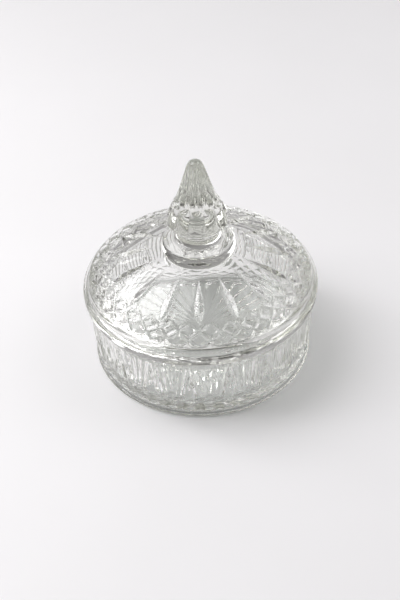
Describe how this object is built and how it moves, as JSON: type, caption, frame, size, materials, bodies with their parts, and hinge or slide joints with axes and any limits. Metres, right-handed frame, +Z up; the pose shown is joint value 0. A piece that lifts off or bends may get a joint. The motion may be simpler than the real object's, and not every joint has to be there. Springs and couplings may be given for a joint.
{
  "type": "powder jar",
  "caption": "Round pressed-glass vanity jar with a cut-pattern bowl, star base and a domed lift-off lid with a collar disc and a tall fluted finial.",
  "frame": {"origin": "centre of the foot, on the surface the jar stands on", "axes": "+Z up along the jar's axis, through the finial's tip; -Y is the front"},
  "size_m": [0.14, 0.14, 0.1369],
  "materials": {
    "bowl_glass": "clear pressed glass, fire polished",
    "lid_glass": "clear pressed glass, fire polished"
  },
  "bodies": {
    "jar": {"bowl": "bowl_glass"},
    "cover": {"lid": "lid_glass"}
  },
  "joints": [
    {"name": "lid_lift", "type": "slide", "parent": "jar", "child": "cover", "axis": [0, 0, 1], "range_m": [0, 0.06]}
  ]
}
